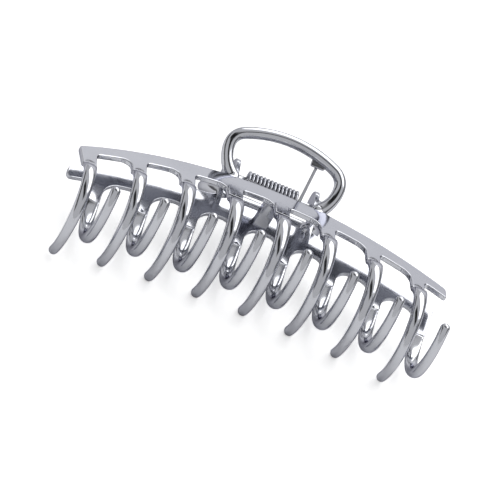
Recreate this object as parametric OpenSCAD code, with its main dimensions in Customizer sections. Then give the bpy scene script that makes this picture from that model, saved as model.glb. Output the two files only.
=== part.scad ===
// Claw hair clip, all metal, lying on its rear handle and on its tooth tips.
// The modules of the pieces draw the clip with its handles up: x runs along the clip,
// y from the front jaw to the rear jaw, z up to the handles. lying() lays it down.

/* [Teeth] */
// Teeth on each jaw
tooth_count = 8; // [6:2:10]
// Distance from tooth to tooth
tooth_pitch = 14; // [12:0.5:16]
// How far the middle of the rows of teeth stands from the middle of the handles
tooth_shift = 1.3; // [0:0.1:2]
// Bar radius of a tooth near its root
root_r = 1.75; // [1.5:0.05:2]
// Bar radius of a tooth at its tip
tip_r = 1.35; // [1:0.05:1.4]
// Width of the flat root of a tooth
tab_w = 4.2; // [3.6:0.1:5]
// Length of the flat root of a tooth
tab_len = 7; // [5:0.5:8]
// Bend radius of the upper, middle and lower stretch of a tooth
tooth_bends = [14.7, 12.3, 18.3];
// Heading of a tooth where each stretch starts and at the tip, from straight down
tooth_headings = [-38, -24, 70, 123];
// How much smaller a tooth is 52 mm from the middle one
tooth_shrink = 0.088; // [0:0.01:0.15]

/* [Bar] */
// Plate thickness
plate_t = 1.5; // [1.2:0.1:2]
// Height of the plate in the middle
plate_h = 6.6; // [5:0.2:8]
// Distance of the plate's lower edge from the clip's mid plane
plate_out = 6.4; // [6:0.1:8]
// Lean of the plate towards the mid plane
plate_lean = 13.8; // [8:0.2:18]
// Radius of the plate's lower edge
lower_edge_r = 155; // [140:1:200]
// Radius of the plate's upper edge
upper_edge_r = 131; // [125:1:180]
// Radius of the plate's bow, seen from above
bow_r = 436; // [300:1:600]
// Length of the plate past the middle of the last tooth
plate_end = 2.6; // [2.2:0.1:4]

/* [Handle] */
// Width of the loop at its widest, between bar centres
loop_w = 33.4; // [30:0.2:38]
// Height of the loop above its feet, to the bar centre
loop_h = 14.9; // [13.6:0.1:18]
// Height of the loop's widest place above its feet
loop_wide_h = 7.4; // [6.5:0.1:8]
// How far the loop bulges past its feet at each side
loop_bulge = 3.2; // [2:0.1:4]
// Bend radius of the loop's corners
loop_corner_r = 5; // [4:0.1:5.5]
// Radius of the loop's bar along the crown
loop_r = 1.6; // [1.3:0.05:1.7]
// Radius of the loop's bar at its feet
loop_foot_r = 1.75; // [1.75:0.05:1.9]
// Lean of the loop away from the mid plane
loop_lean = 38; // [30:1:45]
// How far the loop's feet stand behind the plate's outer face, and above its upper edge
foot_set = [0.88, 1.74];

/* [Hinge] */
// Height of the hinge axis above the plate's lower edge
axis_z = 11.6; // [11:0.1:13]
// Radius of the hinge pin
pin_r = 1.1; // [0.8:0.05:1.3]
// Radial clearance of the pin in the front lugs
pin_play = 0.05; // [0.02:0.01:0.1]
// Thickness of a lug
lug_t = 1.4; // [1.1:0.1:1.6]
// Radius of a lug's rounded top
lug_r = 3.8; // [3.4:0.1:3.9]
// Distance between the inner faces of the front lugs
lug_gap = 22.6; // [20:0.2:22.8]
// Side clearance between a front lug and the rear lug next to it
side_play = 0.25; // [0.15:0.05:0.4]
// Radius of the pin's riveted heads
head_r = 1.7; // [1.4:0.05:2]
// Thickness of the pin's heads
head_t = 0.5; // [0.3:0.05:0.8]
// Width of the closing stop
stop_w = 3.6; // [3:0.2:5]
// Height of the closing stop
stop_h = 3; // [2:0.2:4]
// Gap between the closing stop and the front plate
stop_play = 0.1; // [0.05:0.01:0.15]

/* [Spring] */
// Diameter of the spring wire
wire_d = 0.9; // [0.7:0.05:1]
// Outside diameter of the coil
coil_d = 6.4; // [5.6:0.1:6.6]
// Whole turns of the coil, without the part turn between the legs
coil_turns = 14; // [9:1:14]
// Gap between neighbouring turns
coil_play = 0.2; // [0.05:0.01:0.3]
// Distance of a leg's end from the middle of the clip
leg_x = 8.8; // [8:0.1:10]
// Place of a leg's end along the height of the loop
leg_h = 11.2; // [10:0.1:12]
// Length of the tab that holds the leg's end
leg_tab_w = 4.2; // [3:0.1:5]
// Thickness of that tab
leg_tab_t = 1; // [0.8:0.1:1.4]

/* [Hidden] */
$fn = 48;
fine = 360;
silver = [0.76, 0.77, 0.8];
steel = [0.6, 0.61, 0.64];
touch = 0.02;

// Teeth of the two jaws take turns: the front row starts half a pitch further left
front_first = tooth_shift - tooth_pitch * tooth_count / 2;
rear_first = front_first + tooth_pitch / 2;
plate_left = front_first - plate_end;
plate_right = rear_first + tooth_pitch * (tooth_count - 1) + plate_end;
shrink_ref = 52;

// Share of shrink_ref^2 at a place along the clip
function away(x) = pow((x - tooth_shift) / shrink_ref, 2);
function tooth_scale(x) = 1 - tooth_shrink * away(x);
// Height of an edge of radius r and top height h at x, and the plate's bow there
function edge_z(x, r, h) = h - r + sqrt(r * r - pow(x - tooth_shift, 2));
function bow(x) = bow_r - sqrt(bow_r * bow_r - pow(x - tooth_shift, 2));
// Distance of the plate's outer face from the mid plane at height z
function face_out(z) = plate_out - tan(plate_lean) * z;
function inner_out(z) = face_out(z) - plate_t / cos(plate_lean);

// End of an arc in the y-z plane that starts at p and turns from heading a to heading b
function arc_end(p, r, a, b) = p + r * [cos(a) - cos(b), sin(a) - sin(b)];
tab_end = tab_len * [-sin(plate_lean), -cos(plate_lean)];
bend_1_end = arc_end(tab_end, tooth_bends[0], tooth_headings[0], tooth_headings[1]);
bend_2_end = arc_end(bend_1_end, tooth_bends[1], tooth_headings[1], tooth_headings[2]);
tooth_end = arc_end(bend_2_end, tooth_bends[2], tooth_headings[2], tooth_headings[3]);
mid_r = (root_r + tip_r) / 2;
tooth_low = bend_2_end[1] - tooth_bends[2] * (1 - sin(tooth_headings[2])) - tip_r;

// The loop: a side arc from each foot, a corner arc and a shallow crown
loop_feet = loop_w - 2 * loop_bulge;
foot_drop = upper_edge_r - sqrt(upper_edge_r * upper_edge_r - pow(loop_feet / 2 + tooth_shift, 2));
loop_foot = [face_out(plate_h) - foot_set[0], plate_h + foot_set[1] - foot_drop];
side_r = (loop_bulge * loop_bulge + loop_wide_h * loop_wide_h) / (2 * loop_bulge);
side_turn = asin(loop_wide_h / side_r);
corner_x = loop_w / 2 - loop_corner_r;
crown_rise = loop_h - loop_wide_h;
crown_sq = corner_x * corner_x + crown_rise * crown_rise - loop_corner_r * loop_corner_r;
crown_r = crown_sq / (2 * (crown_rise - loop_corner_r));
crown_turn = asin(corner_x / (crown_r - loop_corner_r));
foot_turn = 12;
// The crown's ends reach this far into the thicker corners, and these into the sides
arc_lap = 1;

// Where the lying clip touches the floor, and the middle of its length and depth
loop_low = loop_foot[0] + loop_h * sin(loop_lean) + loop_r;
tip_low = tooth_end[0] - plate_out + tip_r;
rest_y = max(loop_low, tip_low);
top_z = loop_foot[1] + loop_h * cos(loop_lean) + loop_r;
first_scale = tooth_scale(front_first);
low_z = edge_z(front_first, lower_edge_r, 0) + tooth_low * first_scale;
mid_x = (plate_left + plate_right) / 2;
mid_z = (top_z + low_z) / 2;

// The lug's round top stands a little towards its own jaw, so the other loop's foot clears it
lug_centre = [1.2, axis_z + 0.4];
front_lug_x = lug_gap / 2;
rear_lug_x = front_lug_x + lug_t + side_play;

// The spring: the coil's mean radius, and the tangent from it to a leg's end
coil_r = (coil_d - wire_d) / 2;
leg_off = (wire_d + leg_tab_t) / 2 + touch;
leg_y = loop_foot[0] + leg_h * sin(loop_lean) - leg_off * cos(loop_lean);
leg_z = loop_foot[1] + leg_h * cos(loop_lean) + leg_off * sin(loop_lean);
leg_reach = norm([leg_y, leg_z - axis_z]);
leg_angle = atan2(leg_z - axis_z, leg_y) - acos(coil_r / leg_reach);
coil_sweep = 360 * coil_turns + 180 + 2 * leg_angle;
coil_pitch = wire_d + coil_play;
coil_half = coil_pitch * coil_sweep / 720;
coil_steps = 14;
leg_steps = 4;
wire_sides = 8;

// Lays the clip down: the handles go back along +Y, the front jaw is on top
module lying() {
    translate([-mid_x, -mid_z, rest_y])
        rotate([-90, 0, 0])
            children();
}

// A jaw is drawn as the front one, and turned over for the rear one
module as_rear() {
    mirror([0, 1, 0])
        children();
}

// A round bar that starts at the origin along +X and follows a list of left-hand arcs
// given as [bend radius, turn, bar radius]
module bent_bar(arcs, i = 0) {
    if (i < len(arcs)) {
        bend = arcs[i][0];
        turn = arcs[i][1];
        translate([0, bend, 0])
            rotate([0, 0, -90])
                rotate_extrude(angle = turn)
                    translate([bend, 0])
                        circle(r = arcs[i][2]);
        translate([bend * sin(turn), bend * (1 - cos(turn)), 0])
            rotate([0, 0, turn])
                bent_bar(arcs, i + 1);
    }
}

// Turns a drawing in the X-Y plane into the y-z plane of the clip
module in_yz() {
    rotate([90, 0, 90])
        children();
}

module tooth() {
    rotate([-plate_lean, 0, 0])
        translate([-tab_w / 2, 0, -tab_len])
            cube([tab_w, plate_t, tab_len + 1.5]);
    translate([0, tab_end[0], tab_end[1]])
        sphere(r = root_r);
    translate([0, tab_end[0], tab_end[1]])
        in_yz()
            rotate([0, 0, tooth_headings[0] - 90])
                bent_bar([
                    [tooth_bends[0], tooth_headings[1] - tooth_headings[0], root_r],
                    [tooth_bends[1], tooth_headings[2] - tooth_headings[1], mid_r],
                    [tooth_bends[2], tooth_headings[3] - tooth_headings[2], tip_r]
                ]);
    translate([0, tooth_end[0], tooth_end[1]])
        sphere(r = tip_r);
}

// A row of teeth whose first one stands at x = first
module teeth(first) {
    for (i = [0 : tooth_count - 1]) {
        x = first + i * tooth_pitch;
        translate([x, bow(x) - plate_out - tan(plate_lean) * -edge_z(x, lower_edge_r, 0),
                   edge_z(x, lower_edge_r, 0)])
            scale(tooth_scale(x))
                tooth();
    }
}

// The arched plate: an arched outline seen from the front, cut from a leaning bowed sheet
module plate() {
    sheet_h = 60;
    intersection() {
        translate([tooth_shift, 0, 0])
            rotate([90, 0, 0])
                linear_extrude(height = sheet_h, center = true)
                    difference() {
                        translate([0, plate_h - upper_edge_r])
                            circle(r = upper_edge_r, $fn = fine);
                        translate([0, -lower_edge_r])
                            circle(r = lower_edge_r, $fn = fine);
                    }
        translate([plate_left, -sheet_h / 2, -sheet_h / 2])
            cube([plate_right - plate_left, sheet_h, sheet_h]);
        translate([tooth_shift, -plate_out, 0])
            rotate([-plate_lean, 0, 0])
                translate([0, bow_r, -sheet_h / 2])
                    difference() {
                        cylinder(r = bow_r, h = sheet_h, $fn = fine);
                        translate([0, 0, -1])
                            cylinder(r = bow_r - plate_t, h = sheet_h + 2, $fn = fine);
                    }
    }
}

// One side of the loop: its corner, and the arc from the widest place to below the foot
module loop_side() {
    translate([corner_x, loop_wide_h, 0])
        rotate([0, 0, -arc_lap])
            rotate_extrude(angle = 90 - crown_turn + arc_lap)
                translate([loop_corner_r, 0])
                    circle(r = (loop_r + loop_foot_r) / 2);
    translate([loop_w / 2 - side_r, loop_wide_h, 0])
        rotate([0, 0, -side_turn - foot_turn])
            rotate_extrude(angle = side_turn + foot_turn)
                translate([side_r, 0])
                    circle(r = loop_foot_r);
}

// The D-shaped handle with the tab behind which the spring's leg ends
module handle(tab_side) {
    translate([0, -loop_foot[0], loop_foot[1]])
        rotate([90 + loop_lean, 0, 0]) {
            translate([0, loop_h - crown_r, 0])
                rotate([0, 0, 90 - crown_turn - arc_lap])
                    rotate_extrude(angle = 2 * (crown_turn + arc_lap))
                        translate([crown_r, 0])
                            circle(r = loop_r);
            loop_side();
            mirror([1, 0, 0])
                loop_side();
            translate([tab_side * leg_x - leg_tab_w / 2, leg_h - 0.6, -leg_tab_t / 2])
                cube([leg_tab_w, loop_h - leg_h, leg_tab_t]);
        }
}

// Outline of a lug in the y-z plane, standing on the front plate
module lug_outline() {
    low = 1;
    mid = plate_t / 2;
    translate([-lug_centre[0], lug_centre[1]])
        circle(r = lug_r);
    polygon([
        [-inner_out(low), low],
        [-lug_centre[0], lug_centre[1] - lug_r],
        [-lug_centre[0], lug_centre[1]],
        [-lug_centre[0] - lug_r, lug_centre[1]],
        [mid - face_out(plate_h - 1), plate_h - 1],
        [mid - face_out(low), low]
    ]);
}

// Both lugs of a jaw, with their inner faces at distance x from the middle
module lugs(x, bore_r) {
    for (side = [-1, 1])
        translate([side * (x + lug_t / 2) - lug_t / 2, 0, 0])
            in_yz()
                linear_extrude(height = lug_t)
                    difference() {
                        lug_outline();
                        translate([0, axis_z])
                            circle(r = bore_r);
                    }
}

// The block on the rear plate that the front plate closes against
module closing_stop() {
    low = 0.8;
    high = low + stop_h;
    translate([-stop_w / 2, 0, 0])
        in_yz()
            linear_extrude(height = stop_w)
                polygon([
                    [stop_play - inner_out(low), low],
                    [stop_play - inner_out(high), high],
                    [inner_out(high) + plate_t / 2, high],
                    [inner_out(low) + plate_t / 2, low]
                ]);
}

module front_jaw() {
    color(silver)
        lying() {
            plate();
            teeth(front_first);
            handle(1);
            lugs(front_lug_x, pin_r + pin_play);
        }
}

module rear_jaw() {
    color(silver)
        lying() {
            as_rear() {
                plate();
                teeth(rear_first);
                handle(-1);
                lugs(rear_lug_x, pin_r);
            }
            closing_stop();
        }
}

module hinge_pin() {
    outer = rear_lug_x + lug_t;
    color(steel)
        lying()
            translate([-outer - head_t, 0, axis_z])
                rotate([0, 90, 0]) {
                    cylinder(r = pin_r, h = 2 * (outer + head_t));
                    cylinder(r = head_r, h = head_t);
                    translate([0, 0, 2 * outer + head_t])
                        cylinder(r = head_r, h = head_t);
                }
}

// A ring of the wire: centre, outward direction and the direction across it
function ring(centre, out, across) = [
    for (k = [0 : wire_sides - 1])
        centre + wire_d / 2 * (cos(360 * k / wire_sides) * out + sin(360 * k / wire_sides) * across)
];
function coil_out(a) = [0, cos(a), sin(a)];
function coil_at(t) =
    [(2 * t - 1) * coil_half, 0, axis_z] + coil_r * coil_out(leg_angle - t * coil_sweep);
coil_rings = ceil(coil_sweep / 360 * coil_steps);
rear_end = [-leg_x, leg_y, leg_z];
front_end = [leg_x, -leg_y, leg_z];

// The wire, from the end of the rear leg through the coil to the end of the front leg
module torsion_spring() {
    rear_out = coil_out(leg_angle);
    front_out = coil_out(leg_angle - coil_sweep);
    rings = [
        for (i = [0 : leg_steps - 1])
            ring(rear_end + (coil_at(0) - rear_end) * i / leg_steps, rear_out, [1, 0, 0]),
        for (i = [0 : coil_rings])
            ring(coil_at(i / coil_rings), coil_out(leg_angle - i / coil_rings * coil_sweep), [1, 0, 0]),
        for (i = [1 : leg_steps])
            ring(coil_at(1) + (front_end - coil_at(1)) * i / leg_steps, front_out, [1, 0, 0])
    ];
    last = len(rings) - 1;
    n = wire_sides;
    color(steel)
        lying()
            polyhedron(
                points = [for (r = rings) each r],
                faces = [
                    [for (k = [0 : n - 1]) k],
                    for (j = [0 : last - 1], k = [0 : n - 1])
                        [j * n + k, (j + 1) * n + k, (j + 1) * n + (k + 1) % n, j * n + (k + 1) % n],
                    [for (k = [n - 1 : -1 : 0]) last * n + k]
                ]
            );
}

front_jaw();
rear_jaw();
hinge_pin();
torsion_spring();
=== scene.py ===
import math

import bmesh
import bpy
from mathutils import Matrix, Vector
from mathutils.geometry import delaunay_2d_cdt


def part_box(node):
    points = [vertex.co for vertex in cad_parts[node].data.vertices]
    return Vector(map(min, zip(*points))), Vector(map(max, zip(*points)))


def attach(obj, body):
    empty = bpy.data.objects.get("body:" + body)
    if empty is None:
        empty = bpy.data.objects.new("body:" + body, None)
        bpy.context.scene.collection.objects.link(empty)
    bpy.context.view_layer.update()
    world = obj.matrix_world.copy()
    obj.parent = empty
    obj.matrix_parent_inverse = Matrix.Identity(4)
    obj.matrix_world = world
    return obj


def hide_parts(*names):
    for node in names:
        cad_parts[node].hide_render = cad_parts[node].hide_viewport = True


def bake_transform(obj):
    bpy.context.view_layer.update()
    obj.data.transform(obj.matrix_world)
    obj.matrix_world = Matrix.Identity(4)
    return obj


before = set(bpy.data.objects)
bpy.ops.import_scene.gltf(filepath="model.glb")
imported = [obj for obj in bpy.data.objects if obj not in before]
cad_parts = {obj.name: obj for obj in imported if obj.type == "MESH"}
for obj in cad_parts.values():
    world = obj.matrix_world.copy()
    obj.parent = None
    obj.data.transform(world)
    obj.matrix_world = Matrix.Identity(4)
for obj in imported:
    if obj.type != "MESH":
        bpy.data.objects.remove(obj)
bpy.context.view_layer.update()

# Camera, floor and light.
# The clip lies on a pale table. A long lens looks down on its open side, turned a little,
# and soft white panels with dark gaps between them give the plating its streaks.
CAMERA_AZIMUTH = -15.0
CAMERA_ELEVATION = 37.4
CAMERA_ROLL = 31.8
CAMERA_DISTANCE = 1.5
CAMERA_LENS = 394
CAMERA_AIM = Vector((0.0012, 0.0019, 0.0069))
FLOOR_SIZE = 6
FLOOR_LIFT = 0.5
SKY = 0.6
# each panel: where it is, which way its length runs, half length, half width, edge, brightness
PANELS = (
    ((0.35, 0.45, 0.8), (0.7, -0.97, 0.06), 0.75, 0.26, 0.14, 2.6),
    ((-0.25, -0.2, 0.95), (-0.8, 0.7, -0.09), 0.62, 0.13, 0.12, 0.014),
    ((-0.95, 0.1, 0.22), (0, 1, 0), 0.8, 0.14, 0.15, 0.12),
    ((0.95, 0.1, 0.22), (0, 1, 0), 0.8, 0.14, 0.15, 0.14),
    ((0.2, 0.96, 0.15), (1, 0, 0), 0.3, 0.12, 0.15, 0.98),
)

azimuth = math.radians(CAMERA_AZIMUTH)
elevation = math.radians(CAMERA_ELEVATION)
back = Vector((
    math.sin(azimuth) * math.cos(elevation),
    -math.cos(azimuth) * math.cos(elevation),
    math.sin(elevation),
))
camera_data = bpy.data.cameras.new("camera")
camera_data.lens = CAMERA_LENS
camera_data.sensor_width = 36
camera_data.clip_end = 20
camera = bpy.data.objects.new("camera", camera_data)
bpy.context.scene.collection.objects.link(camera)
turned = back.to_track_quat("Z", "Y").to_matrix() @ Matrix.Rotation(math.radians(CAMERA_ROLL), 3, "Z")
camera.matrix_world = Matrix.Translation(CAMERA_AIM + back * CAMERA_DISTANCE) @ turned.to_4x4()
bpy.context.scene.camera = camera
bpy.context.scene.view_settings.view_transform = "Standard"

bpy.ops.mesh.primitive_plane_add(size=FLOOR_SIZE)
floor = bpy.context.object
floor.name = "floor"
floor_paint = bpy.data.materials.new("floor_paint")
floor_paint.use_nodes = True
floor_shader = floor_paint.node_tree.nodes["Principled BSDF"]
floor_shader.inputs["Base Color"].default_value = (0.93, 0.93, 0.93, 1)
floor_shader.inputs["Roughness"].default_value = 0.9
floor_shader.inputs["Emission Color"].default_value = (1, 1, 1, 1)
# to the camera the table looks a little lighter than its light makes it, so shadows stay faint
seen = floor_paint.node_tree.nodes.new("ShaderNodeLightPath")
lift = floor_paint.node_tree.nodes.new("ShaderNodeMath")
lift.operation = "MULTIPLY"
lift.inputs[1].default_value = FLOOR_LIFT
floor_paint.node_tree.links.new(seen.outputs["Is Camera Ray"], lift.inputs[0])
floor_paint.node_tree.links.new(lift.outputs["Value"], floor_shader.inputs["Emission Strength"])
floor.data.materials.append(floor_paint)

world = bpy.data.worlds.new("studio")
bpy.context.scene.world = world
world.use_nodes = True


def panel_group():
    """A soft-edged rectangle on the sky: 1 inside it and 0 outside."""
    group = bpy.data.node_groups.new("panel", "ShaderNodeTree")
    for name, kind in (
        ("Towards", "NodeSocketVector"),
        ("Along", "NodeSocketVector"),
        ("Across", "NodeSocketVector"),
        ("Half Length", "NodeSocketFloat"),
        ("Half Width", "NodeSocketFloat"),
        ("Edge", "NodeSocketFloat"),
    ):
        group.interface.new_socket(name, in_out="INPUT", socket_type=kind)
    group.interface.new_socket("Mask", in_out="OUTPUT", socket_type="NodeSocketFloat")
    nodes = group.nodes
    links = group.links
    given = nodes.new("NodeGroupInput")
    out = nodes.new("NodeGroupOutput")
    place = nodes.new("ShaderNodeTexCoord")

    def dot(with_socket):
        node = nodes.new("ShaderNodeVectorMath")
        node.operation = "DOT_PRODUCT"
        links.new(place.outputs["Generated"], node.inputs[0])
        links.new(given.outputs[with_socket], node.inputs[1])
        return node.outputs["Value"]

    def sum_of(operation, first, second):
        node = nodes.new("ShaderNodeMath")
        node.operation = operation
        for socket, value in zip(node.inputs, (first, second)):
            if isinstance(value, float):
                socket.default_value = value
            else:
                links.new(value, socket)
        return node.outputs["Value"]

    facing = sum_of("MAXIMUM", dot("Towards"), 0.001)
    masks = []
    for direction, size in (("Along", "Half Length"), ("Across", "Half Width")):
        away = sum_of("ABSOLUTE", sum_of("DIVIDE", dot(direction), facing), 0.0)
        fade = nodes.new("ShaderNodeMapRange")
        fade.interpolation_type = "SMOOTHSTEP"
        fade.inputs["To Min"].default_value = 1
        fade.inputs["To Max"].default_value = 0
        links.new(away, fade.inputs["Value"])
        links.new(given.outputs[size], fade.inputs["From Min"])
        links.new(sum_of("ADD", given.outputs[size], given.outputs["Edge"]), fade.inputs["From Max"])
        masks.append(fade.outputs["Result"])
    links.new(sum_of("MULTIPLY", *masks), out.inputs["Mask"])
    return group


panel = panel_group()
sky = world.node_tree
sky_light = None
for towards, along, half_length, half_width, edge, bright in PANELS:
    towards = Vector(towards).normalized()
    along = Vector(along)
    along = (along - towards * along.dot(towards)).normalized()
    node = sky.nodes.new("ShaderNodeGroup")
    node.node_tree = panel
    node.inputs["Towards"].default_value = towards
    node.inputs["Along"].default_value = along
    node.inputs["Across"].default_value = towards.cross(along)
    node.inputs["Half Length"].default_value = half_length
    node.inputs["Half Width"].default_value = half_width
    node.inputs["Edge"].default_value = edge
    layer = sky.nodes.new("ShaderNodeMix")
    layer.inputs["B"].default_value = bright
    if sky_light is None:
        layer.inputs["A"].default_value = SKY
    else:
        sky.links.new(sky_light, layer.inputs["A"])
    sky.links.new(node.outputs["Mask"], layer.inputs["Factor"])
    sky_light = layer.outputs["Result"]
sky.links.new(sky_light, sky.nodes["Background"].inputs["Color"])


# The plate of a jaw, with the flat roots of its teeth.
# One arched, bowed and leaning strip of the casting; the windows between the roots have
# a wide fillet on one side and a tight one on the other, and every edge is tumbled round.
MM = 0.001
AXIS_Z = 11.6
TOOTH_COUNT = 8
TOOTH_PITCH = 14
TOOTH_SHIFT = 1.3
FRONT_FIRST = TOOTH_SHIFT - TOOTH_PITCH * TOOTH_COUNT / 2
REAR_FIRST = FRONT_FIRST + TOOTH_PITCH / 2
PLATE_END = 2.6
PLATE_LEFT = FRONT_FIRST - PLATE_END
PLATE_RIGHT = REAR_FIRST + TOOTH_PITCH * (TOOTH_COUNT - 1) + PLATE_END
PLATE_THICK = 1.5
PLATE_TALL = 6.6
PLATE_OUT = 6.4
PLATE_LEAN = math.radians(13.8)
UPPER_EDGE_R = 131
LOWER_EDGE_R = 155
BOW_R = 436
ROOT_WIDTH = 4.7
ROOT_NARROW = 4.3
ROOT_SET = 0.35
ROOT_LENGTH = 7
ROOT_SHRINK = 0.088
SHRINK_REF = 52
WIDE_FILLET = 3.0
TIGHT_FILLET = 1.3
REAR_FILLETS = (2.4, 4.2)
END_CORNER = 0.9
REAR_END_CORNER = 1.7
TUMBLED = 0.32
FOOT_SWELL = 1.2
FOOT_SPREAD = 1.9
LOOP_FEET = 27
ROOT_CORNER = 0.6
RUN_CLEAR = 0.3
RUN_STEP = 2
EDGE_STEPS = 160
EDGE_CLEAR_LEFT = 2
EDGE_CLEAR_RIGHT = 1.2
# the mesh of a flat face: rings round its edge, second rim inside them, then a grid of points
EDGE_RINGS = 4
SECOND_RIM = 1.6
GRAIN = 1.6
FINE_GRAIN = 1.2
GRAIN_CLEAR = 0.45
pin_low, pin_high = (Vector(painted_shade_occlusion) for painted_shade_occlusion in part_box("hinge_pin"))
pin_middle = (pin_low + pin_high) / 2


# sizes and places are in millimetres with the clip's handles up: x along the clip, y towards
# the rear jaw, z up from the middle of the pin; the clip lies on its rear handle in the frame
def lay(x, y, z):
    return pin_middle + Vector((x, z, -y)) * MM


def piece_from(bm, name):
    bmesh.ops.recalc_face_normals(bm, faces=bm.faces)
    mesh = bpy.data.meshes.new(name)
    bm.to_mesh(mesh)
    bm.free()
    piece = bpy.data.objects.new(name, mesh)
    bpy.context.scene.collection.objects.link(piece)
    mesh.shade_smooth()
    return piece


def arc_height(x, radius, top):
    return top - radius + math.sqrt(radius * radius - (x - TOOTH_SHIFT) ** 2)


def plate_bow(x):
    return BOW_R - math.sqrt(BOW_R * BOW_R - (x - TOOTH_SHIFT) ** 2)


def tooth_size(x):
    return 1 - ROOT_SHRINK * ((x - TOOTH_SHIFT) / SHRINK_REF) ** 2


# side is 1 for the front jaw, whose outer face looks to -y, and -1 for the rear one
def on_plate(side, x, z, depth):
    y = -PLATE_OUT + math.tan(PLATE_LEAN) * z + plate_bow(x) + depth * math.cos(PLATE_LEAN)
    return lay(x, side * y, z - depth * math.sin(PLATE_LEAN) - AXIS_Z)


def rounded(corners, steps=7):
    """An outline from corners (x, y, reach), each rounded from reach before it to reach after."""
    points = []
    count = len(corners)
    for i, (x, y, reach) in enumerate(corners):
        here = Vector((x, y))
        if reach == 0:
            points.append(here)
            continue
        before = (Vector(corners[i - 1][:2]) - here).normalized()
        after = (Vector(corners[(i + 1) % count][:2]) - here).normalized()
        half = before.angle(after) / 2
        centre = here + (before + after).normalized() * reach / math.cos(half)
        start = here + before * reach - centre
        end = here + after * reach - centre
        turn = start.angle_signed(end)
        for k in range(steps + 1):
            arm = start.copy()
            arm.rotate(Matrix.Rotation(-turn * k / steps, 2))
            points.append(centre + arm)
    return points


def slab(outline, thick, edge, mapping, name, grain=GRAIN):
    """A plate cut to an outline, with round edges, laid in space by mapping(u, v, depth)."""
    count = len(outline)
    area = sum(outline[i - 1].cross(outline[i]) for i in range(count))
    points = outline if area > 0 else outline[::-1]
    inward = []
    for i in range(count):
        onward = (points[(i + 1) % count] - points[i]).normalized()
        along = onward + (points[i] - points[i - 1]).normalized()
        inward.append(Vector((-along.y, along.x)).normalized())
    levels = []
    for k in range(EDGE_RINGS + 1):
        angle = math.radians(90 * k / EDGE_RINGS)
        levels.append((edge * (1 - math.sin(angle)), edge * (1 - math.cos(angle))))
    levels += [(inset, thick - depth) for inset, depth in reversed(levels)]
    bm = bmesh.new()
    rings = []
    for inset, depth in levels:
        ring = []
        for point, way in zip(points, inward):
            spot = point + way * inset
            ring.append(bm.verts.new(mapping(spot.x, spot.y, depth)))
        rings.append(ring)
    for lower, upper in zip(rings, rings[1:]):
        for i in range(count):
            j = (i + 1) % count
            bm.faces.new((lower[i], lower[j], upper[j], upper[i]))
    rim = [point + way * edge for point, way in zip(points, inward)]
    second = [point + way * edge * SECOND_RIM for point, way in zip(points, inward)]
    left = min(p.x for p in rim)
    right = max(p.x for p in rim)
    bottom = min(p.y for p in rim)
    top = max(p.y for p in rim)
    inner = []
    columns = max(1, int((right - left) / grain))
    rows = max(1, int((top - bottom) / grain))
    for i in range(1, columns):
        for j in range(1, rows):
            spot = Vector((left + (right - left) * i / columns, bottom + (top - bottom) * j / rows))
            if min((spot - p).length for p in second) > grain * GRAIN_CLEAR:
                inner.append(spot)
    given = rim + second + inner
    edges = [(i, (i + 1) % count) for i in range(count)]
    found, _, faces, origin, _, _ = delaunay_2d_cdt(given, edges, [], 1, 1e-5)
    for ring, depth in ((rings[0], 0), (rings[-1], thick)):
        verts = []
        for spot, sources in zip(found, origin):
            at_rim = [s for s in sources if s < count]
            verts.append(ring[at_rim[0]] if at_rim else bm.verts.new(mapping(spot.x, spot.y, depth)))
        for face in faces:
            bm.faces.new([verts[k] for k in face])
    bmesh.ops.delete(bm, geom=[v for v in bm.verts if not v.link_faces], context="VERTS")
    return piece_from(bm, name)


def comb(first, side, name):
    corners = []
    xs = [first + i * TOOTH_PITCH for i in range(TOOTH_COUNT)]

    def lower(x):
        return arc_height(x, LOWER_EDGE_R, 0)

    def run(x_from, x_to):
        steps = max(2, int(abs(x_to - x_from) / RUN_STEP))
        xs_between = [x_from + (x_to - x_from) * k / steps for k in range(1, steps)]
        return [(x, lower(x), 0) for x in xs_between]

    # the wide fillet is left of each tooth on the front casting and right of it on the rear one
    at_left, at_right = (WIDE_FILLET, TIGHT_FILLET) if side == 1 else REAR_FILLETS
    left_corner = END_CORNER if side == 1 else REAR_END_CORNER
    here = PLATE_LEFT
    for x in xs:
        size = tooth_size(x)
        x += ROOT_SET * side
        half = ROOT_WIDTH / 2 * size
        narrow = ROOT_NARROW / 2 * size
        foot = lower(x) - ROOT_LENGTH * size
        if x - half - here > 2 * END_CORNER:
            taken = at_right
            if here == PLATE_LEFT:
                corners.append((here, lower(here), left_corner))
                taken = REAR_END_CORNER
            corners += run(here + taken + RUN_CLEAR, x - half - at_left - RUN_CLEAR)
            corners.append((x - half, lower(x - half), at_left))
        corners.append((x - narrow, foot, ROOT_CORNER))
        corners.append((x + narrow, foot, ROOT_CORNER))
        here = x + half
        if PLATE_RIGHT - here > 2 * END_CORNER:
            corners.append((here, lower(here), at_right))
    if PLATE_RIGHT - here > 2 * END_CORNER:
        corners += run(here + at_right + RUN_CLEAR, PLATE_RIGHT - END_CORNER - RUN_CLEAR)
        corners.append((PLATE_RIGHT, lower(PLATE_RIGHT), END_CORNER))
    corners.append((PLATE_RIGHT, arc_height(PLATE_RIGHT, UPPER_EDGE_R, PLATE_TALL), END_CORNER))
    # the upper edge swells where the feet of the loop stand on it
    for k in range(1, EDGE_STEPS):
        x = PLATE_RIGHT + (PLATE_LEFT - PLATE_RIGHT) * k / EDGE_STEPS
        swell = FOOT_SWELL * math.exp(-(((abs(x) - LOOP_FEET / 2) / FOOT_SPREAD) ** 2))
        if PLATE_RIGHT - EDGE_CLEAR_RIGHT > x > PLATE_LEFT + EDGE_CLEAR_LEFT:
            corners.append((x, arc_height(x, UPPER_EDGE_R, PLATE_TALL) + swell, 0))
    corners.append((PLATE_LEFT, arc_height(PLATE_LEFT, UPPER_EDGE_R, PLATE_TALL), left_corner))
    return slab(rounded(corners), PLATE_THICK, TUMBLED, lambda x, z, d: on_plate(side, x, z, d), name)


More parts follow.
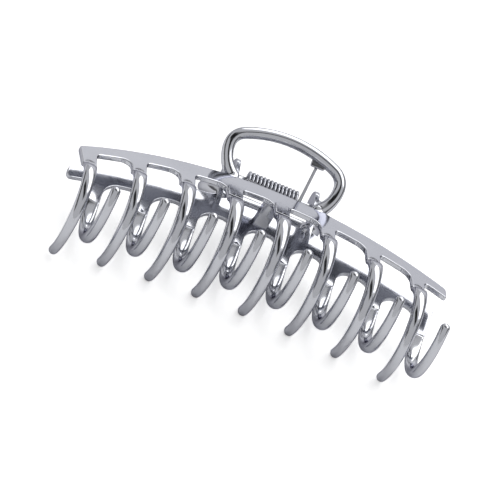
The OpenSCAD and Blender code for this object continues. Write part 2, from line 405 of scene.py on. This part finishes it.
# The teeth.
# Eight curved fingers a jaw, cast with the plate: each grows out of its flat root below a
# small nick, swings out, curls under the hair in three bends and thins to a blunt tip.
TOOTH_BENDS = ((14.7, -24), (12.3, 70), (18.3, 123))
TOOTH_HEADING = -38
ROOT_HALF_WIDTH = 2.1
ROOT_HALF_DEPTH = 1.7
TIP_HALF = 1.48
START_DEPTH = 0.85
START_HALF_DEPTH = 0.8
START_SQUARE = 5
START_BLEND = 9
START_DOME = 0.4
BAR_SIDES = 40
TOOTH_STEP = 0.7
THIN_EARLY = 1.05
CAP_RINGS = 7
PAD_TOP = 0.6
PAD_ARCH = 1
PAD_TALL = 6.5
PAD_THICK = 0.6
PAD_RAISED = 0.28
PAD_INSET = 0.05
PAD_EDGE = 0.2
PAD_STEPS = 12
NICK_HALF = 1.4
NICK_HIGH = 0.55
NICK_ARCH = 0.6
NICK_UP = 1.3
NICK_DEPTH = 0.7
NICK_SIDES = 28


def tube(path, across, halves, name, sides=BAR_SIDES, start_dome=1.0):
    """A bar along path; across is the side direction at each point, halves its two half widths.

    A third number in halves squares the section: 2 is an ellipse, and more is nearer a box.
    """
    bm = bmesh.new()
    rings = []
    count = len(path)
    tangents = []
    for i in range(count):
        tangents.append((path[min(i + 1, count - 1)] - path[max(i - 1, 0)]).normalized())

    def full(value, power):
        return math.copysign(abs(value) ** power, value)

    def ring(centre, tangent, side, half_a, half_b, square=2):
        up = tangent.cross(side).normalized()
        return [
            bm.verts.new(
                centre
                + side * half_a * full(math.cos(t), 2 / square)
                + up * half_b * full(math.sin(t), 2 / square)
            )
            for t in (2 * math.pi * k / sides for k in range(sides))
        ]

    def cap_ring(end, out, k):
        """The ring of a domed end: k of CAP_RINGS steps from its pole, which stands out from it."""
        t = math.pi / 2 * k / CAP_RINGS
        half_a, half_b, *square = halves[end]
        return ring(
            path[end] + out * math.cos(t), tangents[end], across[end],
            half_a * math.sin(t), half_b * math.sin(t), *square,
        )

    start_out = -tangents[0] * start_dome * sum(halves[0][:2]) / 2
    end_out = tangents[-1] * sum(halves[-1][:2]) / 2
    for k in range(1, CAP_RINGS):
        rings.append(cap_ring(0, start_out, k))
    for centre, tangent, side, half in zip(path, tangents, across, halves):
        rings.append(ring(centre, tangent, side, *half))
    for k in range(CAP_RINGS - 1, 0, -1):
        rings.append(cap_ring(-1, end_out, k))
    for lower, upper in zip(rings, rings[1:]):
        for i in range(sides):
            j = (i + 1) % sides
            bm.faces.new((lower[i], lower[j], upper[j], upper[i]))
    first_pole = bm.verts.new(path[0] + start_out)
    last_pole = bm.verts.new(path[-1] + end_out)
    for i in range(sides):
        j = (i + 1) % sides
        bm.faces.new((rings[0][j], rings[0][i], first_pole))
        bm.faces.new((rings[-1][i], rings[-1][j], last_pole))
    return piece_from(bm, name)


def eased(t):
    t = min(max(t, 0), 1)
    return t * t * (3 - 2 * t)


def tooth(x, side, name):
    size = tooth_size(x)
    heading = math.radians(TOOTH_HEADING)
    y = -ROOT_LENGTH * math.sin(PLATE_LEAN)
    z = -ROOT_LENGTH * math.cos(PLATE_LEAN)
    flat = [(y, z)]
    for radius, to in TOOTH_BENDS:
        turn = math.radians(to) - heading
        pieces = math.ceil(radius * turn / TOOTH_STEP)
        for k in range(pieces):
            middle = heading + turn * (k + 0.5) / pieces
            length = radius * turn / pieces
            y += length * math.sin(middle)
            z -= length * math.cos(middle)
            flat.append((y, z))
        heading = math.radians(to)
    root_z = arc_height(x, LOWER_EDGE_R, 0)
    root_y = -PLATE_OUT + math.tan(PLATE_LEAN) * root_z + plate_bow(x)
    path = []
    halves = []
    total = len(flat) - 1
    for i, (py, pz) in enumerate(flat):
        grown = eased(i * TOOTH_STEP / START_BLEND)
        sunk = START_DEPTH * (1 - grown)
        py += sunk * math.cos(PLATE_LEAN)
        pz -= sunk * math.sin(PLATE_LEAN)
        set_x = x + ROOT_SET * side * (1 - grown)
        path.append(lay(set_x, side * (root_y + py * size), root_z + pz * size - AXIS_Z))
        thin = eased(i / total * THIN_EARLY)
        wide = ROOT_HALF_WIDTH + (TIP_HALF - ROOT_HALF_WIDTH) * thin
        deep = ROOT_HALF_DEPTH + (TIP_HALF - ROOT_HALF_DEPTH) * thin
        deep = START_HALF_DEPTH + (deep - START_HALF_DEPTH) * grown
        halves.append((wide * size * MM, deep * size * MM, START_SQUARE + (2 - START_SQUARE) * grown))
    across = [Vector((1, 0, 0))] * len(path)
    return tube(path, across, halves, name, start_dome=START_DOME)


def root_pad(x, side, name):
    """A low pad on the root of a middle tooth, with an arched upper edge."""
    size = tooth_size(x)
    x += ROOT_SET * side
    half = (ROOT_NARROW / 2 - PAD_INSET) * size
    top = arc_height(x, LOWER_EDGE_R, 0) + PAD_TOP
    outline = [Vector((x - half, top - PAD_TALL)), Vector((x + half, top - PAD_TALL))]
    for k in range(PAD_STEPS + 1):
        t = math.pi * k / PAD_STEPS
        outline.append(Vector((x + half * math.cos(t), top + PAD_ARCH * (math.sin(t) - 1))))

    def mapping(u, z, depth):
        return on_plate(side, u, z, depth - PAD_RAISED)

    return slab(outline, PAD_THICK, PAD_EDGE, mapping, name, grain=FINE_GRAIN)


def root_nick(x, side, name):
    """A small arched nick where the flat root of a tooth ends, scooped out of the outer face."""
    x += ROOT_SET * side
    foot = arc_height(x, LOWER_EDGE_R, 0) - ROOT_LENGTH * tooth_size(x)
    bm = bmesh.new()
    bmesh.ops.create_uvsphere(bm, u_segments=NICK_SIDES, v_segments=NICK_SIDES // 2, radius=1)
    for vert in bm.verts:
        u, v, depth = vert.co
        z = foot + NICK_UP + NICK_HIGH * v + NICK_ARCH * (1 - u * u)
        vert.co = on_plate(side, x + NICK_HALF * u, z, NICK_DEPTH * depth)
    return piece_from(bm, name)


# The handles.
# A round bar bent into a D loop, cast on two spreading feet that grow out of the plate's
# upper edge. A small tab inside each loop holds the end of a spring leg.
LOOP_WIDTH = 33.4
LOOP_TALL = 14.9
LOOP_WIDE_AT = 7.4
LOOP_CORNER_R = 5
LOOP_R = 1.68
FOOT_R = 1.75
LOOP_LEAN = math.radians(38)
FOOT_OUT = 3.9
FOOT_Z = 7.5
# two points of a foot inside the plate: how far in from the loop's end, and below the upper edge
FOOT_INSIDE = ((0.6, 1.4), (1.2, 3.6))
FOOT_PULL = 1.7
FOOT_WIDER = 0.25
FOOT_NARROWS = 0.6
FOOT_THINS = 1.3
FOOT_ROWS = 10
FOOT_BEND_STEPS = 8
FOOT_DOWN_STEPS = 4
LOOP_STEP = 0.6
LEG_X = 8.8
LEG_H = 11.2
LEG_TAB_WIDTH = 4.2
LEG_TAB_THICK = 1
LEG_TAB_PAST = 0.6
TAB_CORNER = 0.5
TAB_TOP_CORNER = 0.3
CAST_EDGE = 0.25


def on_loop(side, x, height, depth):
    """A point of the loop's leaning plane; depth is towards the other jaw."""
    y = -(FOOT_OUT + height * math.sin(LOOP_LEAN)) + depth * math.cos(LOOP_LEAN)
    z = FOOT_Z + height * math.cos(LOOP_LEAN) + depth * math.sin(LOOP_LEAN)
    return lay(x, side * y, z - AXIS_Z)


def loop_curve():
    side_out = (LOOP_WIDTH - LOOP_FEET) / 2
    side_r = (side_out ** 2 + LOOP_WIDE_AT ** 2) / (2 * side_out)
    corner_x = LOOP_WIDTH / 2 - LOOP_CORNER_R
    rise = LOOP_TALL - LOOP_WIDE_AT
    crown_r = (corner_x ** 2 + rise ** 2 - LOOP_CORNER_R ** 2) / (2 * (rise - LOOP_CORNER_R))
    crown_turn = math.asin(corner_x / (crown_r - LOOP_CORNER_R))
    points = [(0.0, LOOP_TALL)]
    heading = 0.0
    x, h = points[0]
    for radius, turn in (
        (crown_r, crown_turn),
        (LOOP_CORNER_R, math.pi / 2 - crown_turn),
        (side_r, math.asin(LOOP_WIDE_AT / side_r)),
    ):
        pieces = math.ceil(radius * turn / LOOP_STEP)
        for k in range(pieces):
            middle = heading + turn * (k + 0.5) / pieces
            x += radius * turn / pieces * math.cos(middle)
            h -= radius * turn / pieces * math.sin(middle)
            points.append((x, h))
        heading += turn
    return points


def handle(side, name):
    right = loop_curve()
    rows = []
    for x, h in right:
        rows.append((on_loop(side, x, h, 0), LOOP_R, LOOP_R))
    # the foot bends out of the leaning plane and runs down inside the plate
    foot_x = right[-1][0]
    entry, bottom = (
        on_plate(side, foot_x - inward, PLATE_TALL - down, PLATE_THICK / 2) for inward, down in FOOT_INSIDE
    )
    end = rows[-1][0]
    pulled = end + (end - rows[-2][0]) * FOOT_PULL
    smooth = []
    for k in range(1, FOOT_BEND_STEPS + 1):
        t = k / FOOT_BEND_STEPS
        smooth.append(end * (1 - t) ** 2 + pulled * 2 * t * (1 - t) + entry * t * t)
    for k in range(1, FOOT_DOWN_STEPS + 1):
        smooth.append(entry.lerp(bottom, k / FOOT_DOWN_STEPS))
    for k, point in enumerate(smooth):
        grow = eased((k - 3) / 5)
        rows.append((point, FOOT_R + FOOT_WIDER - FOOT_NARROWS * grow, FOOT_R - FOOT_THINS * grow))
    for k in range(FOOT_ROWS):
        i = len(right) - FOOT_ROWS + k
        grow = eased(k / FOOT_ROWS)
        wide = LOOP_R + (FOOT_R - LOOP_R + FOOT_WIDER) * grow
        rows[i] = (rows[i][0], wide, LOOP_R + (FOOT_R - LOOP_R) * grow)
    middle_x = pin_middle.x
    mirrored = []
    for point, wide, deep in reversed(rows[1:]):
        mirrored.append((Vector((2 * middle_x - point.x, point.y, point.z)), wide, deep))
    rows = mirrored + rows
    path = [row[0] for row in rows]
    halves = [(row[1] * MM, row[2] * MM) for row in rows]
    plane = (on_loop(side, 0, 0, 1) - on_loop(side, 0, 0, 0)).normalized()
    across = []
    for i in range(len(path)):
        tangent = (path[min(i + 1, len(path) - 1)] - path[max(i - 1, 0)]).normalized()
        across.append(plane.cross(tangent).normalized())
    return tube(path, across, halves, name)


def leg_tab(side, name):
    """The small tab under the loop's crown, in front of the end of the spring's leg."""
    x = side * LEG_X
    left = x - LEG_TAB_WIDTH / 2
    right = x + LEG_TAB_WIDTH / 2
    low = LEG_H - LEG_TAB_PAST
    high = LOOP_TALL - LEG_TAB_PAST
    corners = [
        (left, low, TAB_CORNER),
        (right, low, TAB_CORNER),
        (right, high, TAB_TOP_CORNER),
        (left, high, TAB_TOP_CORNER),
    ]

    def mapping(u, v, depth):
        return on_loop(side, u, v, depth - LEG_TAB_THICK / 2)

    return slab(rounded(corners, 4), LEG_TAB_THICK, CAST_EDGE, mapping, name)


# The hinge lugs and the closing stop.
# Two thin ears a jaw, cast on the back of the plate and drilled for the pin, the rear
# pair outside the front pair; one block on the rear plate stops the jaws when they close.
LUG_THICK = 1.4
LUG_R = 3.8
LUG_IN = 1.2
LUG_UP = 0.4
LUG_LOW = 1
LUG_EDGE = 0.28
LUG_STEPS = 32
FRONT_LUG_X = 11.3
REAR_LUG_X = 12.95
PIN_R = 1.1
PIN_PLAY = 0.05
STOP_WIDTH = 4.2
STOP_LOW = 0.8
STOP_TALL = 3
STOP_PLAY = 0.1
STOP_CORNER = 0.5
STOP_LEFT = 0.4
HOLE_SIDES = 48
HOLE_LENGTH = 40


def face_out(z):
    return PLATE_OUT - math.tan(PLATE_LEAN) * z


def inner_out(z):
    return face_out(z) - PLATE_THICK / math.cos(PLATE_LEAN)


def lug(side, left, name):
    mid = PLATE_THICK / 2
    centre_z = AXIS_Z + LUG_UP
    outline = [
        Vector((mid - face_out(LUG_LOW), LUG_LOW)),
        Vector((-inner_out(LUG_LOW), LUG_LOW)),
    ]
    centre = Vector((-LUG_IN, centre_z))
    for k in range(LUG_STEPS + 1):
        t = math.radians(-90 + 270 * k / LUG_STEPS)
        outline.append(centre + LUG_R * Vector((math.cos(t), math.sin(t))))
    outline.append(Vector((mid - face_out(PLATE_TALL - LUG_LOW), PLATE_TALL - LUG_LOW)))

    def mapping(y, z, depth):
        return lay(left + depth, side * y, z - AXIS_Z)

    return slab(outline, LUG_THICK, LUG_EDGE, mapping, name, grain=FINE_GRAIN)


def closing_stop(name):
    high = STOP_LOW + STOP_TALL
    corners = [
        (STOP_PLAY - inner_out(STOP_LOW), STOP_LOW, STOP_CORNER),
        (inner_out(STOP_LOW) + PLATE_THICK / 2, STOP_LOW, STOP_CORNER),
        (inner_out(high) + PLATE_THICK / 2, high, STOP_CORNER),
        (STOP_PLAY - inner_out(high), high, STOP_CORNER),
    ]

    def mapping(y, z, depth):
        return lay(depth - STOP_WIDTH / 2 - STOP_LEFT, y, z - AXIS_Z)

    return slab(rounded(corners, 4), STOP_WIDTH, CAST_EDGE, mapping, name)


def pin_hole(radius, name):
    bm = bmesh.new()
    bmesh.ops.create_cone(
        bm,
        cap_ends=True,
        segments=HOLE_SIDES,
        radius1=radius * MM,
        radius2=radius * MM,
        depth=HOLE_LENGTH * MM,
    )
    bmesh.ops.rotate(bm, verts=bm.verts, cent=(0, 0, 0), matrix=Matrix.Rotation(math.pi / 2, 3, "Y"))
    bmesh.ops.translate(bm, verts=bm.verts, vec=pin_middle)
    return piece_from(bm, name)


# Silver plating.
# Bright plating over a polished casting: almost a mirror, with a faint orange-peel swell,
# hairline rub marks, and painted shade that darkens the colour towards near black in tight corners and
# creases.
# painted shade: the near-black colour laid into tight corners and creases
PAINTED_CORNER_SHADE = (0.06, 0.06, 0.07, 1)
CORNER_REACH = 0.0011
CORNER_SHUT = 0.25
CORNER_OPEN = 0.8
EDGE_TINT = (0.45, 0.45, 0.5, 1)


def polish_group():
    group = bpy.data.node_groups.new("polish", "ShaderNodeTree")
    for name, kind, value in (
        ("Bright Color", "NodeSocketColor", (0.8, 0.8, 0.8, 1)),
        ("Dull Color", "NodeSocketColor", (0.6, 0.6, 0.6, 1)),
        ("Roughness", "NodeSocketFloat", 0.1),
        ("Rubbed Roughness", "NodeSocketFloat", 0.2),
        ("Swell Height", "NodeSocketFloat", 0.1),
    ):
        socket = group.interface.new_socket(name, in_out="INPUT", socket_type=kind)
        socket.default_value = value
    group.interface.new_socket("Color", in_out="OUTPUT", socket_type="NodeSocketColor")
    group.interface.new_socket("Roughness", in_out="OUTPUT", socket_type="NodeSocketFloat")
    group.interface.new_socket("Normal", in_out="OUTPUT", socket_type="NodeSocketVector")
    nodes = group.nodes
    links = group.links
    given = nodes.new("NodeGroupInput")
    out = nodes.new("NodeGroupOutput")
    place = nodes.new("ShaderNodeTexCoord")
    cloud = nodes.new("ShaderNodeTexNoise")
    cloud.inputs["Scale"].default_value = 90
    cloud.inputs["Detail"].default_value = 4
    stretch = nodes.new("ShaderNodeMapping")
    stretch.inputs["Scale"].default_value = (300, 2500, 2500)
    hairline = nodes.new("ShaderNodeTexNoise")
    hairline.inputs["Scale"].default_value = 1
    hairline.inputs["Detail"].default_value = 2
    swell = nodes.new("ShaderNodeTexNoise")
    swell.inputs["Scale"].default_value = 260
    swell.inputs["Detail"].default_value = 1
    tint = nodes.new("ShaderNodeMix")
    tint.data_type = "RGBA"
    rub = nodes.new("ShaderNodeMapRange")
    rub.inputs["From Min"].default_value = 0.4
    rub.inputs["From Max"].default_value = 0.7
    bump = nodes.new("ShaderNodeBump")
    bump.inputs["Distance"].default_value = 0.00005
    links.new(place.outputs["Object"], cloud.inputs["Vector"])
    links.new(place.outputs["Object"], stretch.inputs["Vector"])
    links.new(place.outputs["Object"], swell.inputs["Vector"])
    links.new(stretch.outputs["Vector"], hairline.inputs["Vector"])
    links.new(cloud.outputs["Fac"], tint.inputs["Factor"])
    links.new(given.outputs["Bright Color"], tint.inputs["A"])
    links.new(given.outputs["Dull Color"], tint.inputs["B"])
    links.new(tint.outputs["Result"], out.inputs["Color"])
    links.new(hairline.outputs["Fac"], rub.inputs["Value"])
    links.new(given.outputs["Roughness"], rub.inputs["To Min"])
    links.new(given.outputs["Rubbed Roughness"], rub.inputs["To Max"])
    links.new(rub.outputs["Result"], out.inputs["Roughness"])
    links.new(swell.outputs["Fac"], bump.inputs["Height"])
    links.new(given.outputs["Swell Height"], bump.inputs["Strength"])
    links.new(bump.outputs["Normal"], out.inputs["Normal"])
    return group


polish = polish_group()


def metal(name, bright, dull, roughness, rubbed, swell_height):
    material = bpy.data.materials.new(name)
    material.use_nodes = True
    nodes = material.node_tree.nodes
    links = material.node_tree.links
    shader = nodes["Principled BSDF"]
    shader.inputs["Metallic"].default_value = 1
    shader.inputs["Specular Tint"].default_value = EDGE_TINT
    effect = nodes.new("ShaderNodeGroup")
    effect.node_tree = polish
    effect.inputs["Bright Color"].default_value = (*bright, 1)
    effect.inputs["Dull Color"].default_value = (*dull, 1)
    effect.inputs["Roughness"].default_value = roughness
    effect.inputs["Rubbed Roughness"].default_value = rubbed
    effect.inputs["Swell Height"].default_value = swell_height
    # painted shade: an ambient occlusion mask darkens the metal's colour where tight corners and creases
    # would fall into shade
    painted_shade_occlusion = nodes.new("ShaderNodeAmbientOcclusion")
    painted_shade_occlusion.samples = 8
    painted_shade_occlusion.inputs["Distance"].default_value = CORNER_REACH
    painted_shade_mask = nodes.new("ShaderNodeMapRange")
    painted_shade_mask.inputs["From Min"].default_value = CORNER_SHUT
    painted_shade_mask.inputs["From Max"].default_value = CORNER_OPEN
    shade = nodes.new("ShaderNodeMix")
    shade.data_type = "RGBA"
    shade.inputs["A"].default_value = PAINTED_CORNER_SHADE
    links.new(painted_shade_occlusion.outputs["AO"], painted_shade_mask.inputs["Value"])
    links.new(painted_shade_mask.outputs["Result"], shade.inputs["Factor"])
    links.new(effect.outputs["Color"], shade.inputs["B"])
    links.new(shade.outputs["Result"], shader.inputs["Base Color"])
    links.new(effect.outputs["Roughness"], shader.inputs["Roughness"])
    links.new(effect.outputs["Normal"], shader.inputs["Normal"])
    return material


plating = metal("silver_plating", (0.66, 0.67, 0.715), (0.58, 0.59, 0.635), 0.1, 0.16, 0.14)

# The two jaws.
# Plate, teeth, handle and lugs of a jaw come out of one mould, so they are fused here
# into one skin. The nicks at the teeth and the pin's holes are cut last.
SHARP_EDGE = math.radians(38)
PADDED_TEETH = (3, 4)


def cast(name, parts, cuts):
    base = parts[0]
    for part in parts[1:]:
        union = base.modifiers.new("fuse", "BOOLEAN")
        union.operation = "UNION"
        union.solver = "MANIFOLD"
        union.object = part
    for tool in cuts:
        cut = base.modifiers.new("cut", "BOOLEAN")
        cut.operation = "DIFFERENCE"
        cut.solver = "MANIFOLD"
        cut.object = tool
    bpy.context.view_layer.update()
    graph = bpy.context.evaluated_depsgraph_get()
    mesh = bpy.data.meshes.new_from_object(base.evaluated_get(graph), depsgraph=graph)
    mesh.name = name
    jaw = bpy.data.objects.new(name, mesh)
    bpy.context.scene.collection.objects.link(jaw)
    for part in parts + cuts:
        bpy.data.objects.remove(part)
    mesh.materials.clear()
    mesh.materials.append(plating)
    mesh.shade_smooth()
    mesh.set_sharp_from_angle(angle=SHARP_EDGE)
    return jaw


for jaw_name, node, body, side, first, lug_x, bore in (
    ("front_casting", "front_jaw", "front_half", 1, FRONT_FIRST, FRONT_LUG_X, PIN_R + PIN_PLAY),
    ("rear_casting", "rear_jaw", "rear_half", -1, REAR_FIRST, REAR_LUG_X, PIN_R),
):
    parts = [comb(first, side, jaw_name + "_plate")]
    for i in range(TOOTH_COUNT):
        parts.append(tooth(first + i * TOOTH_PITCH, side, jaw_name + "_tooth"))
        if i in PADDED_TEETH:
            parts.append(root_pad(first + i * TOOTH_PITCH, side, jaw_name + "_pad"))
    parts.append(handle(side, jaw_name + "_loop"))
    parts.append(leg_tab(side, jaw_name + "_tab"))
    parts.append(lug(side, lug_x, jaw_name + "_lug"))
    parts.append(lug(side, -lug_x - LUG_THICK, jaw_name + "_lug"))
    if side == -1:
        parts.append(closing_stop(jaw_name + "_stop"))
    cuts = [root_nick(first + i * TOOTH_PITCH, side, jaw_name + "_nick") for i in range(TOOTH_COUNT)]
    cuts.append(pin_hole(bore, jaw_name + "_hole"))
    jaw = cast(jaw_name, parts, cuts)
    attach(jaw, body)
    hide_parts(node)

# The hinge pin.
# A plated steel rivet pushed through the four ears; both ends are peened into low domes,
# and the shank is held in the rear pair of ears.
PIN_HEAD_R = 1.7
PIN_HEAD_T = 0.5
PIN_OUTER = REAR_LUG_X + LUG_THICK
PIN_SIDES = 48
PIN_COLLAR = 0.05
PIN_COLLAR_WIDTH = 0.06
PIN_SHARP_EDGE = math.radians(40)
HEAD_STEPS = 8
pin_steel = metal("pin_steel", (0.85, 0.86, 0.88), (0.72, 0.73, 0.76), 0.14, 0.24, 0.1)
half_profile = [(PIN_OUTER + PIN_HEAD_T, 0.0)]
for k in range(1, HEAD_STEPS + 1):
    t = math.pi / 2 * k / HEAD_STEPS
    half_profile.append((PIN_OUTER + PIN_HEAD_T * math.cos(t), PIN_HEAD_R * math.sin(t)))
half_profile += [(PIN_OUTER, PIN_R + PIN_COLLAR), (PIN_OUTER - PIN_COLLAR_WIDTH, PIN_R)]
profile = half_profile + [(-x, r) for x, r in reversed(half_profile)]
bm = bmesh.new()
turns = [2 * math.pi * k / PIN_SIDES for k in range(PIN_SIDES)]
rings = []
for x, r in profile:
    if r == 0:
        rings.append([bm.verts.new(lay(x, 0, 0))])
    else:
        rings.append([bm.verts.new(lay(x, r * math.cos(t), r * math.sin(t))) for t in turns])
for near, far in zip(rings, rings[1:]):
    for k in range(PIN_SIDES):
        j = (k + 1) % PIN_SIDES
        corners = [near[k % len(near)], near[j % len(near)], far[j % len(far)], far[k % len(far)]]
        bm.faces.new(list(dict.fromkeys(corners)))
pin = piece_from(bm, "hinge_rivet")
pin.data.materials.append(pin_steel)
pin.data.set_sharp_from_angle(angle=PIN_SHARP_EDGE)
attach(pin, "rear_half")
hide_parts("hinge_pin")

# The torsion spring.
# Bright spring wire wound close round the pin; each end leaves the underside of the coil
# as a straight leg and presses on the tab of one handle, which keeps the jaws shut.
WIRE_D = 0.9
COIL_D = 6.4
COIL_TURNS = 14
COIL_PLAY = 0.2
TOUCH = 0.02
TURN_STEPS = 40
LEG_STEPS = 12
WIRE_SIDES = 16
coil_r = (COIL_D - WIRE_D) / 2
leg_off = (WIRE_D + LEG_TAB_THICK) / 2 + TOUCH
leg_y = FOOT_OUT + LEG_H * math.sin(LOOP_LEAN) - leg_off * math.cos(LOOP_LEAN)
leg_z = FOOT_Z + LEG_H * math.cos(LOOP_LEAN) + leg_off * math.sin(LOOP_LEAN) - AXIS_Z
leg_angle = math.atan2(leg_z, leg_y) - math.acos(coil_r / math.hypot(leg_y, leg_z))
coil_sweep = 2 * math.pi * COIL_TURNS + math.pi + 2 * leg_angle
coil_half = (WIRE_D + COIL_PLAY) * coil_sweep / (4 * math.pi)
coil_steps = math.ceil(coil_sweep / (2 * math.pi) * TURN_STEPS)


def coil_point(t):
    angle = leg_angle - t * coil_sweep
    return Vector(((2 * t - 1) * coil_half, coil_r * math.cos(angle), coil_r * math.sin(angle)))


def coil_outward(t):
    angle = leg_angle - t * coil_sweep
    return lay(0, math.cos(angle), math.sin(angle)) - lay(0, 0, 0)


rear_leg_end = Vector((-LEG_X, leg_y, leg_z))
front_leg_end = Vector((LEG_X, -leg_y, leg_z))
wire_path = []
wire_out = []
for k in range(LEG_STEPS):
    wire_path.append(lay(*rear_leg_end.lerp(coil_point(0), k / LEG_STEPS)))
    wire_out.append(coil_outward(0).normalized())
for k in range(coil_steps + 1):
    wire_path.append(lay(*coil_point(k / coil_steps)))
    wire_out.append(coil_outward(k / coil_steps).normalized())
for k in range(1, LEG_STEPS + 1):
    wire_path.append(lay(*coil_point(1).lerp(front_leg_end, k / LEG_STEPS)))
    wire_out.append(coil_outward(1).normalized())
wire_halves = [(WIRE_D / 2 * MM, WIRE_D / 2 * MM)] * len(wire_path)
spring = tube(wire_path, wire_out, wire_halves, "spring_wire", sides=WIRE_SIDES)
spring_metal = metal("spring_metal", (0.6, 0.61, 0.66), (0.48, 0.49, 0.53), 0.16, 0.26, 0.15)
spring.data.materials.append(spring_metal)
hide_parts("torsion_spring")
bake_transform(spring)
